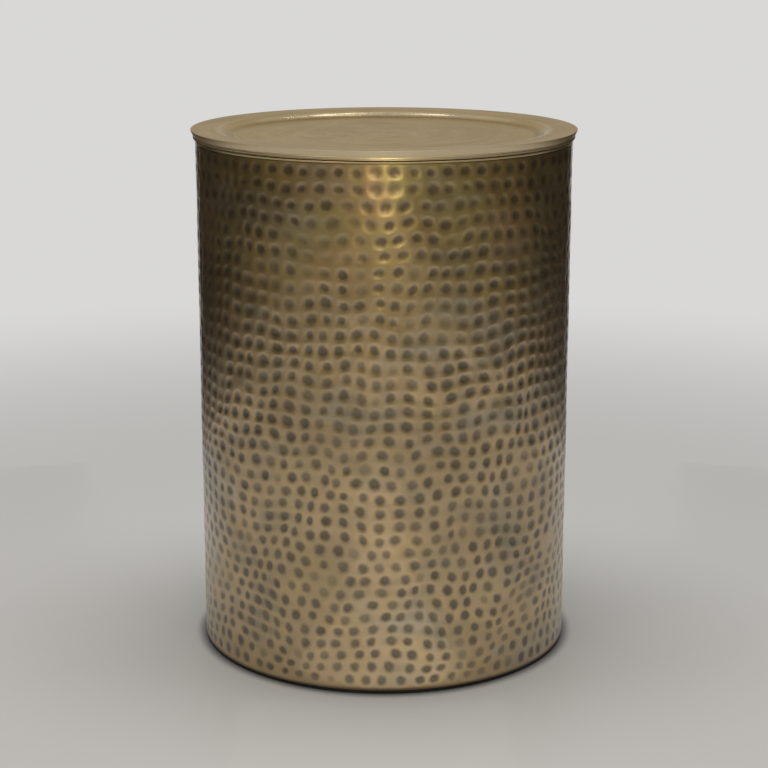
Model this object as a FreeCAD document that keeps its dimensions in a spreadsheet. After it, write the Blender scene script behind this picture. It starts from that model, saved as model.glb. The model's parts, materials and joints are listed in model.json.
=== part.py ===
import FreeCAD, Part
import math
import os
import re
import Sketcher

# A drum side table made of hammered sheet metal: a rolled wall with a spun tray on top.
# Millimetres, +Z up, front at -Y. The origin is the middle of the foot, on the floor.
# The tray rests on a felt gasket on the wall's shoulder. Four studs under it pass through a cross
# of flat bars, and nuts on them pull it down. The bars are bolted to four angle tabs inside the
# mouth. A black ring screwed under the wall's hem keeps the metal off the floor.

doc = FreeCAD.newDocument("DrumSideTable")

# Driving sizes: name, number, meaning.
SIZES = [
    ("drum_diameter", 355.0, "outside of the wall"),
    ("drum_height", 483.6, "wall from its hem to its shoulder"),
    ("sheet_gauge", 1.2, "sheet of the wall and of the tray"),
    ("shoulder_bend", 1.0, "inside radius where the wall turns in at the top"),
    ("hem_bend", 0.6, "inside radius where the wall turns in at the foot"),
    ("seat_width", 9.5, "turned-in shoulder, and the turned-in edge of the tray that lies over it"),
    ("hem_width", 17.5, "turned-in hem at the foot of the wall"),
    ("foot_height", 4.5, "black ring under the hem"),
    ("foot_width", 16.0, "black ring, across its section"),
    ("foot_inset", 0.5, "black ring behind the wall's outside"),
    ("foot_edge", 0.8, "rounding of the black ring's outer edges"),
    ("gasket_thickness", 1.0, "felt between shoulder and tray"),
    ("gasket_width", 7.0, "felt, across its section"),
    ("gasket_setback", 1.8, "felt behind the wall's outside"),
    ("rim_overhang", 4.2, "tray rim beyond the wall's outside"),
    ("rim_height", 8.4, "tray rim from its curled edge to its top"),
    ("lip_bend", 0.4, "inside radius at the top of the rim"),
    ("curl_bend", 0.8, "inside radius where the rim curls under"),
    ("ring_width", 24.7, "flat ring of the tray, from the rim's outside to the cove"),
    ("ring_fall", 1.1, "fall of the flat ring towards the cove"),
    ("cove_width", 15.0, "curved step from the ring to the floor"),
    ("tray_depth", 5.9, "tray floor below the rim's top"),
    ("hoop_height", 25.0, "flat-bar hoop under the shoulder"),
    ("hoop_thickness", 3.0, "flat-bar hoop"),
    ("hem_ring_thickness", 3.0, "flat ring that lies on the hem"),
    ("strap_width", 30.0, "cover strip over the wall's seam"),
    ("strap_thickness", 1.5, "cover strip"),
    ("strap_gap", 0.1, "between the cover strip and the wall"),
    ("bar_width", 25.0, "brace bars"),
    ("bar_thickness", 4.0, "brace bars"),
    ("bar_end_gap", 1.5, "from a brace bar's end to the shoulder's edge"),
    ("tab_width", 20.0, "angle tab"),
    ("tab_length", 25.0, "angle tab's level leg"),
    ("tab_drop", 20.0, "angle tab's upright leg"),
    ("tab_thickness", 3.0, "angle tab"),
    ("weld_gap", 0.1, "between an angle tab's corners and the hoop"),
    ("bolt_setback", 14.0, "bolt's axis from the back of its tab"),
    ("bolt_diameter", 5.0, "bolts through bars and tabs"),
    ("bolt_head_diameter", 9.5, "low round head"),
    ("bolt_head_height", 2.75, "low round head"),
    ("bolt_socket", 3.0, "round driving recess in the head"),
    ("bolt_nut_width", 8.0, "nut across its flats"),
    ("bolt_nut_height", 4.0, "nut"),
    ("bolt_washer_diameter", 10.0, "washer under the tab"),
    ("stud_radius", 90.0, "stud's axis from the middle of the tray"),
    ("stud_diameter", 6.0, "studs welded under the tray"),
    ("stud_nut_width", 10.0, "nut across its flats"),
    ("stud_nut_height", 5.0, "nut"),
    ("stud_washer_diameter", 12.0, "washer under the bar"),
    ("washer_thickness", 1.2, "all washers"),
    ("thread_end", 1.5, "thread that stands out past a nut or a tapped ring"),
    ("hole_clearance", 0.5, "added to a fastener's diameter for a plain hole"),
    ("thread_clearance", 0.1, "added to a fastener's diameter for a tapped hole"),
    ("screw_count", 8, "screws through the black ring"),
    ("screw_diameter", 4.0, "screws through the black ring"),
    ("screw_head_diameter", 8.0, "low round head"),
    ("screw_head_height", 1.6, "low round head"),
    ("screw_head_sink", 0.4, "head above the ring's underside"),
    ("screw_head_gap", 0.3, "around the head, in its recess"),
    ("screw_socket", 2.5, "round driving recess in the head"),
    ("socket_share", 0.6, "depth of a driving recess, as a part of its head's height"),
]

# Places worked out from the driving sizes. Radii are from the middle, levels from the floor.
PLACES = [
    ("drum_radius", "drum_diameter / 2"),
    ("shoulder_level", "foot_height + drum_height"),
    ("shoulder_round", "shoulder_bend + sheet_gauge"),
    ("hem_round", "hem_bend + sheet_gauge"),
    ("seat_edge", "drum_radius - seat_width"),
    ("hem_edge", "drum_radius - hem_width"),
    # tray
    ("rim_base", "shoulder_level + gasket_thickness"),
    ("rim_top", "rim_base + rim_height"),
    ("rim_radius", "drum_radius + rim_overhang"),
    ("lip_round", "lip_bend + sheet_gauge"),
    ("curl_round", "curl_bend + sheet_gauge"),
    ("lip_level", "rim_top - lip_round"),
    ("curl_level", "rim_base + curl_round"),
    # The rim's side is one arc, upright at the lip and tangent to the curl above the wall's face.
    ("side_drop", "lip_level - curl_level"),
    ("side_round", "(rim_overhang ^ 2 + side_drop ^ 2 - curl_round ^ 2)"
                   " / (2 * (rim_overhang - curl_round))"),
    ("side_centre", "rim_radius - side_round"),
    ("side_across", "(drum_radius - side_centre) / (side_round - curl_round)"),
    ("side_down", "side_drop / (side_round - curl_round)"),
    # The cove is two equal arcs, level at both ends, that meet halfway.
    ("ring_edge", "rim_radius - ring_width"),
    ("ring_level", "rim_top - ring_fall"),
    ("floor_edge", "ring_edge - cove_width"),
    ("floor_level", "rim_top - tray_depth"),
    ("cove_rise", "ring_level - floor_level"),
    ("cove_round", "(cove_width ^ 2 + cove_rise ^ 2) / (4 * cove_rise)"),
    ("cove_slope_across", "cove_width / (2 * cove_round)"),
    ("cove_slope_up", "1 - cove_rise / (2 * cove_round)"),
    # brace under the tray
    ("hoop_level", "shoulder_level - sheet_gauge"),
    ("hoop_outside", "drum_radius - shoulder_round"),
    ("hoop_inside", "hoop_outside - hoop_thickness"),
    ("bar_top", "floor_level - sheet_gauge"),
    ("bar_under", "bar_top - bar_thickness"),
    ("bar_reach", "seat_edge - bar_end_gap"),
    ("tab_face", "sqrt(hoop_inside ^ 2 - (tab_width / 2) ^ 2) - weld_gap"),
    ("tab_under", "bar_under - tab_thickness"),
    ("bolt_radius", "tab_face - bolt_setback"),
    ("bolt_nut_top", "tab_under - washer_thickness"),
    ("bolt_nut_under", "bolt_nut_top - bolt_nut_height"),
    ("stud_nut_top", "bar_under - washer_thickness"),
    ("stud_nut_under", "stud_nut_top - stud_nut_height"),
    # foot
    ("foot_outside", "drum_radius - foot_inset"),
    ("foot_inside", "foot_outside - foot_width"),
    ("hem_top", "foot_height + sheet_gauge"),
    ("hem_ring_top", "hem_top + hem_ring_thickness"),
    ("hem_ring_outside", "drum_radius - hem_round"),
    ("screw_radius", "foot_outside - foot_width / 2"),
    ("screw_seat", "screw_head_sink + screw_head_height"),
    ("strap_outside", "drum_radius - sheet_gauge - strap_gap"),
    ("strap_inside", "strap_outside - strap_thickness"),
]

BRACE_ENDS = 4
QUARTER_TURN = 90
LEFT, RIGHT = "left", "right"

holder = {}


def named(expression, home=""):
    """The expression with each size written in full: its sheet, a dot, its name."""
    def in_full(match):
        word = match.group()
        sheet = holder.get(word, home)
        return word if sheet == home else f"{sheet}.{word}"
    return re.sub(r"[a-z_]+", in_full, expression)


def fill_sheet(name, rows, home=""):
    """A spreadsheet with a name in column A, the aliased value in B and its meaning in C."""
    sheet = doc.addObject("Spreadsheet::Sheet", name)
    for line, (alias, value, *meaning) in enumerate(rows, start=1):
        holder[alias] = name
        sheet.set(f"A{line}", alias)
        sheet.set(f"B{line}", f"={named(value, home)}" if home else str(value))
        sheet.set(f"C{line}", "".join(meaning))
        sheet.setAlias(f"B{line}", alias)
    doc.recompute()
    return sheet


sizes = fill_sheet("Sizes", SIZES)
places = fill_sheet("Places", PLACES, home="Places")


def number(expression):
    """What an expression in the sheets' names comes to now."""
    return float(places.evalExpression(named(expression)))


def origin_feature(body, role):
    return next(feature for feature in body.Origin.OriginFeatures if feature.Role == role)


def side_between(start, end, arc):
    """One side of an outline: a straight line, or the short arc (radius, LEFT or RIGHT)."""
    if not arc:
        return Part.LineSegment(start, end)
    radius, turn = number(arc[0]), arc[1]
    chord = end - start
    bulge = radius - math.sqrt(radius ** 2 - (chord.Length / 2) ** 2)
    to_right = FreeCAD.Vector(chord.y, -chord.x, 0).normalize()
    if turn == LEFT:
        return Part.Arc(start, (start + end) / 2 + to_right * bulge, end)
    return Part.Arc(end, (start + end) / 2 - to_right * bulge, start)


def hold_point(drawing, side, point, across, up):
    """Ties a point of a drawing to its place, across and up from the drawing's origin.

    A sketch numbers its line across as -1, its line up as -2, and its origin as point 1 of -1.
    """
    for kind, place, line in (("DistanceX", across, -2), ("DistanceY", up, -1)):
        if place == "0":
            drawing.addConstraint(Sketcher.Constraint("PointOnObject", side, point, line))
        else:
            rule = Sketcher.Constraint(kind, -1, 1, side, point, number(place))
            index = drawing.addConstraint(rule)
            drawing.setExpression(f"Constraints[{index}]", named(place))


def draw(body, role, outline=(), circles=(), offset=("0", "0", "0")):
    """A sketch on one of the body's own planes, held by the sizes.

    A corner of the outline is (across, up), and (across, up, radius, turn) where the side that
    leaves it is an arc. A circle is (across, up, diameter). The offset moves the sketch in its
    plane and along its normal.
    """
    drawing = body.newObject("Sketcher::SketchObject", f"{body.Name}_sketch")
    drawing.AttachmentSupport = [(origin_feature(body, role), "")]
    drawing.MapMode = "FlatFace"
    for axis, shift in zip("xyz", offset):
        if shift != "0":
            drawing.setExpression(f"AttachmentOffset.Base.{axis}", named(shift))
    corners = [FreeCAD.Vector(number(place[0]), number(place[1]), 0) for place in outline]
    ends = []
    for index, (across, up, *arc) in enumerate(outline):
        following = corners[(index + 1) % len(corners)]
        side = drawing.addGeometry(side_between(corners[index], following, arc), False)
        first, last = (2, 1) if arc and arc[1] == RIGHT else (1, 2)
        ends.append((side, first, last))
        if arc:
            rule = drawing.addConstraint(Sketcher.Constraint("Radius", side, number(arc[0])))
            drawing.setExpression(f"Constraints[{rule}]", named(arc[0]))
    for index, (side, first, last) in enumerate(ends):
        next_side, next_first, _ = ends[(index + 1) % len(ends)]
        joint = Sketcher.Constraint("Coincident", side, last, next_side, next_first)
        drawing.addConstraint(joint)
        hold_point(drawing, side, first, outline[index][0], outline[index][1])
    for across, up, diameter in circles:
        centre = FreeCAD.Vector(number(across), number(up), 0)
        up_normal = FreeCAD.Vector(0, 0, 1)
        circle = Part.Circle(centre, up_normal, number(diameter) / 2)
        side = drawing.addGeometry(circle, False)
        rule = drawing.addConstraint(Sketcher.Constraint("Diameter", side, number(diameter)))
        drawing.setExpression(f"Constraints[{rule}]", named(diameter))
        hold_point(drawing, side, 3, across, up)
    return drawing


def start_body(node):
    body = doc.addObject("PartDesign::Body", node)
    body.Label = node
    return body


def turned(node, outline, axis_at="0"):
    """A body turned from an outline of (radius, level) corners, round an upright axis."""
    body = start_body(node)
    drawing = draw(body, "XZ_Plane", outline, offset=(axis_at, "0", "0"))
    turning = body.newObject("PartDesign::Revolution", f"{node}_turned")
    turning.Profile = drawing
    turning.ReferenceAxis = (drawing, ["V_Axis"])
    turning.Angle = 360
    return body


def raised(node, level, thickness, outline=(), circles=(), at_radius="0"):
    """A body raised from a flat outline with round holes, at a level and a radius along +X."""
    body = start_body(node)
    drawing = draw(body, "XY_Plane", outline, circles, offset=(at_radius, "0", level))
    pad = body.newObject("PartDesign::Pad", f"{node}_pad")
    pad.Profile = drawing
    pad.setExpression("Length", named(thickness))
    return body


def bore(body, radius, diameter, level, depth):
    """Cuts one round hole upward from a level, at a radius along +X."""
    drawing = draw(body, "XY_Plane", circles=[("0", "0", diameter)], offset=(radius, "0", level))
    pocket = body.newObject("PartDesign::Pocket", f"{body.Name}_hole")
    pocket.Profile = drawing
    pocket.Reversed = True
    pocket.setExpression("Length", named(depth))
    return pocket


def repeat_round(body, features, count):
    """Repeats features evenly round the upright axis, as often as the count says."""
    pattern = body.newObject("PartDesign::PolarPattern", f"{body.Name}_round")
    pattern.Originals = features
    pattern.Axis = (origin_feature(body, "Z_Axis"), [""])
    pattern.Angle = 360
    pattern.setExpression("Occurrences", named(count))
    body.Tip = pattern


def hexagon(width):
    """Corners of a hexagon, with its width across the flats along X."""
    half, corner = f"{width} / 2", f"{width} / sqrt(3)"
    short = f"{corner} / 2"
    return [(half, short), ("0", corner), (f"-{half}", short),
            (f"-{half}", f"-{short}"), ("0", f"-{corner}"), (half, f"-{short}")]


def turn_to_side(body, quarters):
    """Turns a finished body round the upright axis, from +X by quarter turns."""
    upright = FreeCAD.Vector(0, 0, 1)
    body.Placement.Rotation = FreeCAD.Rotation(upright, QUARTER_TURN * quarters)


def tray():
    """The spun tray: floor, cove, ring, lip, rounded side, and an edge curled under.

    The outline runs along the upper face to the curled edge and back along the lower face, one
    gauge away, so that arcs with one centre differ by the gauge.
    """
    gauge = "sheet_gauge"
    middle = ("floor_edge + cove_width / 2", "floor_level + cove_rise / 2")
    middle_under = (f"{middle[0]} + {gauge} * cove_slope_across",
                    f"{middle[1]} - {gauge} * cove_slope_up")
    side_end = ("side_centre + side_round * side_across", "lip_level - side_round * side_down")
    inner_side = f"side_round - {gauge}"
    side_end_under = (f"side_centre + ({inner_side}) * side_across",
                      f"lip_level - ({inner_side}) * side_down")
    upper = [
        ("0", "floor_level"),
        ("floor_edge", "floor_level", "cove_round", LEFT),
        (*middle, "cove_round", RIGHT),
        ("ring_edge", "ring_level"),
        ("rim_radius - lip_round", "rim_top", "lip_round", RIGHT),
        ("rim_radius", "lip_level", "side_round", RIGHT),
        (*side_end, "curl_round", RIGHT),
        ("drum_radius", "rim_base"),
        ("seat_edge", "rim_base"),
    ]
    lower = [
        ("seat_edge", f"rim_base + {gauge}"),
        ("drum_radius", f"rim_base + {gauge}", "curl_bend", LEFT),
        (*side_end_under, inner_side, LEFT),
        (f"rim_radius - {gauge}", "lip_level", "lip_bend", LEFT),
        ("rim_radius - lip_round", f"rim_top - {gauge}"),
        ("ring_edge", f"ring_level - {gauge}", f"cove_round - {gauge}", LEFT),
        (*middle_under, f"cove_round + {gauge}", RIGHT),
        ("floor_edge", f"floor_level - {gauge}"),
        ("0", f"floor_level - {gauge}"),
    ]
    return turned("top_tray", upper + lower)


def wall():
    """The rolled wall, with its shoulder turned in at the top and its hem at the foot."""
    inside = "drum_radius - sheet_gauge"
    body = turned("body_shell", [
        ("hem_edge", "foot_height"),
        ("drum_radius - hem_round", "foot_height", "hem_round", LEFT),
        ("drum_radius", "foot_height + hem_round"),
        ("drum_radius", "shoulder_level - shoulder_round", "shoulder_round", LEFT),
        ("drum_radius - shoulder_round", "shoulder_level"),
        ("seat_edge", "shoulder_level"),
        ("seat_edge", "shoulder_level - sheet_gauge"),
        ("drum_radius - shoulder_round", "shoulder_level - sheet_gauge", "shoulder_bend", RIGHT),
        (inside, "shoulder_level - shoulder_round"),
        (inside, "foot_height + hem_round", "hem_bend", RIGHT),
        ("drum_radius - hem_round", "hem_top"),
        ("hem_edge", "hem_top"),
    ])
    hole = bore(body, "screw_radius", "screw_diameter + hole_clearance", "foot_height",
                "sheet_gauge")
    repeat_round(body, [hole], "screw_count")
    return body


def gasket():
    """The felt strip in the parting line, set back so that only its dark edge shows."""
    outside = "2 * (drum_radius - gasket_setback)"
    inside = f"{outside} - 2 * gasket_width"
    circles = [("0", "0", outside), ("0", "0", inside)]
    return raised("top_gasket", "shoulder_level", "gasket_thickness", circles=circles)


def hoops():
    """The upright hoop under the shoulder, and the flat ring on the hem, tapped for screws."""
    rounds = [("0", "0", "2 * hoop_outside"), ("0", "0", "2 * hoop_inside")]
    top_hoop = raised("top_hoop", "hoop_level - hoop_height", "hoop_height", circles=rounds)
    rounds = [("0", "0", "2 * hem_ring_outside"), ("0", "0", "2 * hem_edge")]
    bottom_hoop = raised("bottom_hoop", "hem_top", "hem_ring_thickness", circles=rounds)
    hole = bore(bottom_hoop, "screw_radius", "screw_diameter + thread_clearance", "hem_top",
                "hem_ring_thickness")
    repeat_round(bottom_hoop, [hole], "screw_count")
    return [top_hoop, bottom_hoop]


def seam_strap():
    """The curved strip over the wall's seam at the back, from the hem's ring to the hoop."""
    half = "strap_width / 2"
    outer = f"sqrt(strap_outside ^ 2 - ({half}) ^ 2)"
    inner = f"sqrt(strap_inside ^ 2 - ({half}) ^ 2)"
    return raised("seam_strap", "hem_ring_top", "hoop_level - hoop_height - hem_ring_top", [
        (half, inner),
        (half, outer, "strap_outside", LEFT),
        (f"-{half}", outer),
        (f"-{half}", inner, "strap_inside", RIGHT),
    ])


def brace_bars():
    """One bar right across the mouth, and one on each side of it, butt-welded into a cross."""
    half = "bar_width / 2"
    stud_hole = "stud_diameter + hole_clearance"
    bolt_hole = "bolt_diameter + hole_clearance"

    def bar(node, start, holes):
        corners = [(start, f"-{half}"), ("bar_reach", f"-{half}"),
                   ("bar_reach", half), (start, half)]
        return raised(node, "bar_under", "bar_thickness", corners, holes)

    near_holes = [("stud_radius", "0", stud_hole), ("bolt_radius", "0", bolt_hole)]
    far_holes = [(f"-{place}", level, size) for place, level, size in near_holes]
    bars = [bar("brace_bar_long", "-bar_reach", near_holes + far_holes)]
    for node, quarters in (("brace_bar_back", 1), ("brace_bar_front", 3)):
        short_bar = bar(node, half, near_holes)
        turn_to_side(short_bar, quarters)
        bars.append(short_bar)
    return bars


def angle_tabs():
    """Four angle tabs, welded by their corners inside the hoop, one under each end of the cross."""
    tabs = []
    for quarters, side in enumerate(("right", "back", "left", "front")):
        body = start_body(f"tab_{side}")
        drawing = draw(body, "XZ_Plane", [
            ("tab_face - tab_length", "tab_under"),
            ("tab_face - tab_thickness", "tab_under"),
            ("tab_face - tab_thickness", "bar_under - tab_drop"),
            ("tab_face", "bar_under - tab_drop"),
            ("tab_face", "bar_under"),
            ("tab_face - tab_length", "bar_under"),
        ])
        pad = body.newObject("PartDesign::Pad", f"{body.Name}_pad")
        pad.Profile = drawing
        pad.SideType = "Symmetric"
        pad.setExpression("Length", named("tab_width"))
        bore(body, "bolt_radius", "bolt_diameter + hole_clearance", "tab_under", "tab_thickness")
        turn_to_side(body, quarters)
        tabs.append(body)
    return tabs


def round_of(body, count):
    """Repeats a one-feature body round the upright axis, as separate solids."""
    repeat_round(body, [body.Tip], count)
    return body


def bolt(node, axis_at, shank, head, seat, head_end, shank_end, socket):
    """A round-headed bolt: its seat is the level under the head, its ends are levels too."""
    depth = f"({head_end} - ({seat})) * socket_share"
    outline = [
        ("0", shank_end),
        (f"{shank} / 2", shank_end),
        (f"{shank} / 2", seat),
        (f"{head} / 2", seat),
        (f"{head} / 2", head_end),
        (f"{socket} / 2", head_end),
        (f"{socket} / 2", f"{head_end} - {depth}"),
        ("0", f"{head_end} - {depth}"),
    ]
    return turned(node, outline, axis_at)


def tab_fasteners():
    """A bolt, a washer and a nut at each end of the cross."""
    hole = ("0", "0", "bolt_diameter + hole_clearance")
    thread = ("0", "0", "bolt_diameter + thread_clearance")
    bolts = bolt("tab_bolts", "bolt_radius", "bolt_diameter", "bolt_head_diameter", "bar_top",
                 "(bar_top + bolt_head_height)", "bolt_nut_under - thread_end", "bolt_socket")
    washers = raised("tab_washers", "bolt_nut_top", "washer_thickness",
                     circles=[("0", "0", "bolt_washer_diameter"), hole], at_radius="bolt_radius")
    nuts = raised("tab_nuts", "bolt_nut_under", "bolt_nut_height", hexagon("bolt_nut_width"),
                  [thread], at_radius="bolt_radius")
    return [round_of(body, str(BRACE_ENDS)) for body in (bolts, washers, nuts)]


def stud_fasteners():
    """A plain stud, a washer and a nut on each arm of the cross."""
    hole = ("0", "0", "stud_diameter + hole_clearance")
    thread = ("0", "0", "stud_diameter + thread_clearance")
    length = "bar_top - stud_nut_under + thread_end"
    studs = raised("tray_studs", "stud_nut_under - thread_end", length,
                   circles=[("0", "0", "stud_diameter")], at_radius="stud_radius")
    washers = raised("stud_washers", "stud_nut_top", "washer_thickness",
                     circles=[("0", "0", "stud_washer_diameter"), hole], at_radius="stud_radius")
    nuts = raised("stud_nuts", "stud_nut_under", "stud_nut_height", hexagon("stud_nut_width"),
                  [thread], at_radius="stud_radius")
    return [round_of(body, str(BRACE_ENDS)) for body in (studs, washers, nuts)]


def foot():
    """The black ring on the floor, with a stepped hole for each screw, and the screws."""
    ring = turned("base_ring", [
        ("foot_inside", "0"),
        ("foot_outside - foot_edge", "0", "foot_edge", LEFT),
        ("foot_outside", "foot_edge"),
        ("foot_outside", "foot_height - foot_edge", "foot_edge", LEFT),
        ("foot_outside - foot_edge", "foot_height"),
        ("foot_inside", "foot_height"),
    ])
    recess = bore(ring, "screw_radius", "screw_head_diameter + 2 * screw_head_gap", "0",
                  "screw_seat")
    hole = bore(ring, "screw_radius", "screw_diameter + hole_clearance", "0", "foot_height")
    repeat_round(ring, [recess, hole], "screw_count")
    screws = bolt("base_ring_screws", "screw_radius", "screw_diameter", "screw_head_diameter",
                  "screw_seat", "screw_head_sink", "hem_ring_top + thread_end", "screw_socket")
    return [ring, round_of(screws, "screw_count")]


nodes = [tray(), wall(), gasket(), *hoops(), seam_strap(), *brace_bars(), *angle_tabs(),
         *tab_fasteners(), *stud_fasteners(), *foot()]
doc.recompute()

for item in doc.Objects:
    if {"Invalid", "Error"} & set(item.State):
        raise RuntimeError(f"{item.Name} did not recompute: {item.State}")
for node in nodes:
    if node.Shape.isNull() or not node.Shape.isValid() or not node.Shape.Solids:
        raise RuntimeError(f"{node.Label} has no valid solid")

os.makedirs("parts", exist_ok=True)
for node in nodes:
    node.Shape.exportStep(f"parts/{node.Label}.step")
    box = node.Shape.optimalBoundingBox()
    print(f"{node.Label:18s} solids {len(node.Shape.Solids)}  volume {node.Shape.Volume:10.1f}"
          f"  x {box.XMin:7.1f} {box.XMax:6.1f}  y {box.YMin:7.1f} {box.YMax:6.1f}"
          f"  z {box.ZMin:6.1f} {box.ZMax:6.1f}")
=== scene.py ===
# %% [markdown]
# A drum side table of hammered sheet metal, dressed for rendering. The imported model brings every
# part at its true size and place. Two parts get a finer skin here, the hammered wall and the spun
# tray, and every part gets a finish made of shader nodes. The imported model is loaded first, so
# that each later step can ask it for sizes.

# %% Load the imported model
import json
import math

import bpy
import numpy as np
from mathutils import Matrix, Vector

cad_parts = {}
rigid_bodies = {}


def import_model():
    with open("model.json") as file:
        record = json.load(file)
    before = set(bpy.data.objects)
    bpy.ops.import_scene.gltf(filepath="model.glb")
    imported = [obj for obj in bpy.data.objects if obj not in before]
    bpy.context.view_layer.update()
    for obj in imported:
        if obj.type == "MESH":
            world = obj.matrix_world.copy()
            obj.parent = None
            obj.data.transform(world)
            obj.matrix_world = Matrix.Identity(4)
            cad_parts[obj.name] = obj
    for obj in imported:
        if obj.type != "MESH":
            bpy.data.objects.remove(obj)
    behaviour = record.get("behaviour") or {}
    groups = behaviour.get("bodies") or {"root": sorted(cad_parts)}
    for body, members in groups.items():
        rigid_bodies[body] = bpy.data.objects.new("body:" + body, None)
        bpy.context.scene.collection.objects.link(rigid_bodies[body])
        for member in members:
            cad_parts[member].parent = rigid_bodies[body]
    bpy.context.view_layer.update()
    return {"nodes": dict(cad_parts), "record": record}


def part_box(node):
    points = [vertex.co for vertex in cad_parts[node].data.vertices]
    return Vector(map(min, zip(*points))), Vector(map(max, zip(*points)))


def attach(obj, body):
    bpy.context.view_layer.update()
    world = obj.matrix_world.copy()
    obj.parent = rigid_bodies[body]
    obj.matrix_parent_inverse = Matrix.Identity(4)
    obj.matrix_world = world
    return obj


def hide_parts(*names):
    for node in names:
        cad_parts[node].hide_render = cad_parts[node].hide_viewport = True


for leftover in list(bpy.data.objects):
    bpy.data.objects.remove(leftover)
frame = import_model()

# %% [markdown]
# The camera stands 1.8 metres from the drum's axis and looks slightly down, so that the tray
# shows as a thin ellipse and the foot as a fuller one. A long lens keeps the sides of the drum
# nearly upright. The pitch is the angle below the horizon.

# %% Camera
CAMERA_PLACE = (0.0, -1.8107, 0.7011)
CAMERA_PITCH = math.radians(14.05)
LENS_MM = 89.9

camera = bpy.data.objects.new("studio_camera", bpy.data.cameras.new("studio_camera"))
camera.data.sensor_width = 36.0
camera.data.lens = LENS_MM
camera.data.clip_start = 0.05
camera.location = CAMERA_PLACE
camera.rotation_euler = (math.pi / 2 - CAMERA_PITCH, 0.0, 0.0)
bpy.context.scene.collection.objects.link(camera)
bpy.context.scene.camera = camera
print("camera at", CAMERA_PLACE)

# %% [markdown]
# Shapes are worked out in millimetres from the drum's axis and the floor, because sheet-metal
# drawings are in millimetres. One helper puts a finished surface into a mesh, in metres. A grid of
# points with lines going up and round becomes quads, and points at the axis close the poles.

# %% Helpers for surfaces
MM = 0.001


def grid_quads(lines, columns, closed):
    """Corner numbers of the quads between neighbouring lines of a grid that goes right round.

    A quad is (line, column), (line, column + 1), (line + 1, column + 1), (line + 1, column). With
    closed, the last line joins the first.
    """
    line = np.arange(lines if closed else lines - 1)[:, None]
    column = np.arange(columns)[None, :]
    after = (column + 1) % columns
    above = (line + 1) % lines
    corners = [line * columns + column, line * columns + after,
               above * columns + after, above * columns + column]
    return np.stack(np.broadcast_arrays(*corners), axis=-1).reshape(-1, 4)


def round_points(radius, level, angle):
    """x = radius cos angle, y = radius sin angle, z = level."""
    radius, level, angle = np.broadcast_arrays(radius, level, angle)
    return np.stack([radius * np.cos(angle), radius * np.sin(angle), level], axis=-1)


def arc_points(centre, radius, start, end, count):
    """Points of an arc in (radius, level), at equal angles in degrees, both ends included."""
    turn = np.radians(np.linspace(start, end, count))
    return [(centre[0] + radius * math.cos(a), centre[1] + radius * math.sin(a)) for a in turn]


def add_piece(name, points, faces, sharp_degrees):
    """A smooth-shaded mesh object at the origin, from points in millimetres."""
    mesh = bpy.data.meshes.new(name)
    mesh.from_pydata((points.reshape(-1, 3) * MM).tolist(), [], faces)
    mesh.shade_smooth()
    mesh.set_sharp_from_angle(angle=math.radians(sharp_degrees))
    piece = bpy.data.objects.new(name, mesh)
    bpy.context.scene.collection.objects.link(piece)
    print(name, "points", len(mesh.vertices), "faces", len(mesh.polygons))
    return piece


# %% [markdown]
# Nothing made by hand repeats exactly. Waves of different lengths, each going round a whole number
# of times so that it meets itself, add up to a smooth drift. The same kind of drift moves the rows
# of hammer marks, dents the sheet a little and shades groups of marks.

# %% Drift round the drum


def drift(seed, angle, level, rounds, spans, waves=14):
    """A sum of waves, cos(n angle + 2 pi level / span + phase), with a root mean square of 1.

    n is a whole number between the two rounds, and span lies between the two spans, up or down.
    """
    pick = np.random.default_rng(seed)
    total = np.zeros(np.broadcast(angle, level).shape)
    for _ in range(waves):
        n = pick.integers(rounds[0], rounds[1] + 1)
        span = pick.uniform(*spans) * pick.choice([-1, 1])
        phase = pick.uniform(0, 2 * math.pi)
        total += np.cos(n * angle + 2 * math.pi * level / span + phase)
    return total / math.sqrt(waves / 2)


def near_ends(level, low, high, reach):
    """0 at low and at high, rising smoothly to 1 at a distance of reach inside them."""
    inside = np.clip(np.minimum(level - low, high - level) / reach, 0, 1)
    return inside * inside * (3 - 2 * inside)


sample = drift(1, np.linspace(0, 6, 60)[:, None], np.linspace(0, 400, 60), (2, 9), (90, 260))
print("drift between", sample.min(), "and", sample.max())

# %% [markdown]
# The wall is covered with marks of a round-nosed hammer, struck in level rows. There are 36 rows
# of 70 marks, and the rows stand closer at the foot than at the top. Each mark has a cell of the
# wall to itself. Near the foot most marks stand between those of the row below, and higher up
# most stand in line with them or nearly so. So each row is shifted by some steps against the one
# below, six of which make a cell.

# %% Rows of hammer marks
WALL_RADIUS = 177.5
WALL_GIRTH = 2 * math.pi * WALL_RADIUS
MARKS_ROUND, MARK_ROWS = 70, 36
MARK_STEPS = 6
HAMMER_FOOT, HAMMER_TOP = 6.9, 485.0
FOOT_PITCH, TOP_PITCH = 11.8, 14.8
LOW_ROWS = MARK_ROWS // 3
LOW_SHIFTS, HIGH_SHIFTS = [3, 2, -2, 3, 1, 0], [0, 0, 0, 1, -1, 3]

columns = MARKS_ROUND * MARK_STEPS
step_round = WALL_GIRTH / columns
pitch = np.linspace(FOOT_PITCH, TOP_PITCH, MARK_ROWS)
pitch *= (HAMMER_TOP - HAMMER_FOOT) / pitch.sum()
row_edge = HAMMER_FOOT + np.concatenate([[0.0], np.cumsum(pitch)])

hand = np.random.default_rng(20)
low_shifts = hand.choice(LOW_SHIFTS, LOW_ROWS)
high_shifts = hand.choice(HIGH_SHIFTS, MARK_ROWS - LOW_ROWS)
row_shift = np.cumsum(np.concatenate([low_shifts, high_shifts])) % MARK_STEPS
print("rows", pitch[0], "to", pitch[-1], "mm apart, shifted by", row_shift)

# %% [markdown]
# Each mark has its own place, size, depth and darkness. It strays from the middle of its cell, but
# only as far as the cell leaves room for it. Some marks are faint, a few were never struck, and
# some nearly run together. Whole groups of marks are a little stronger or weaker than others.

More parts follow.
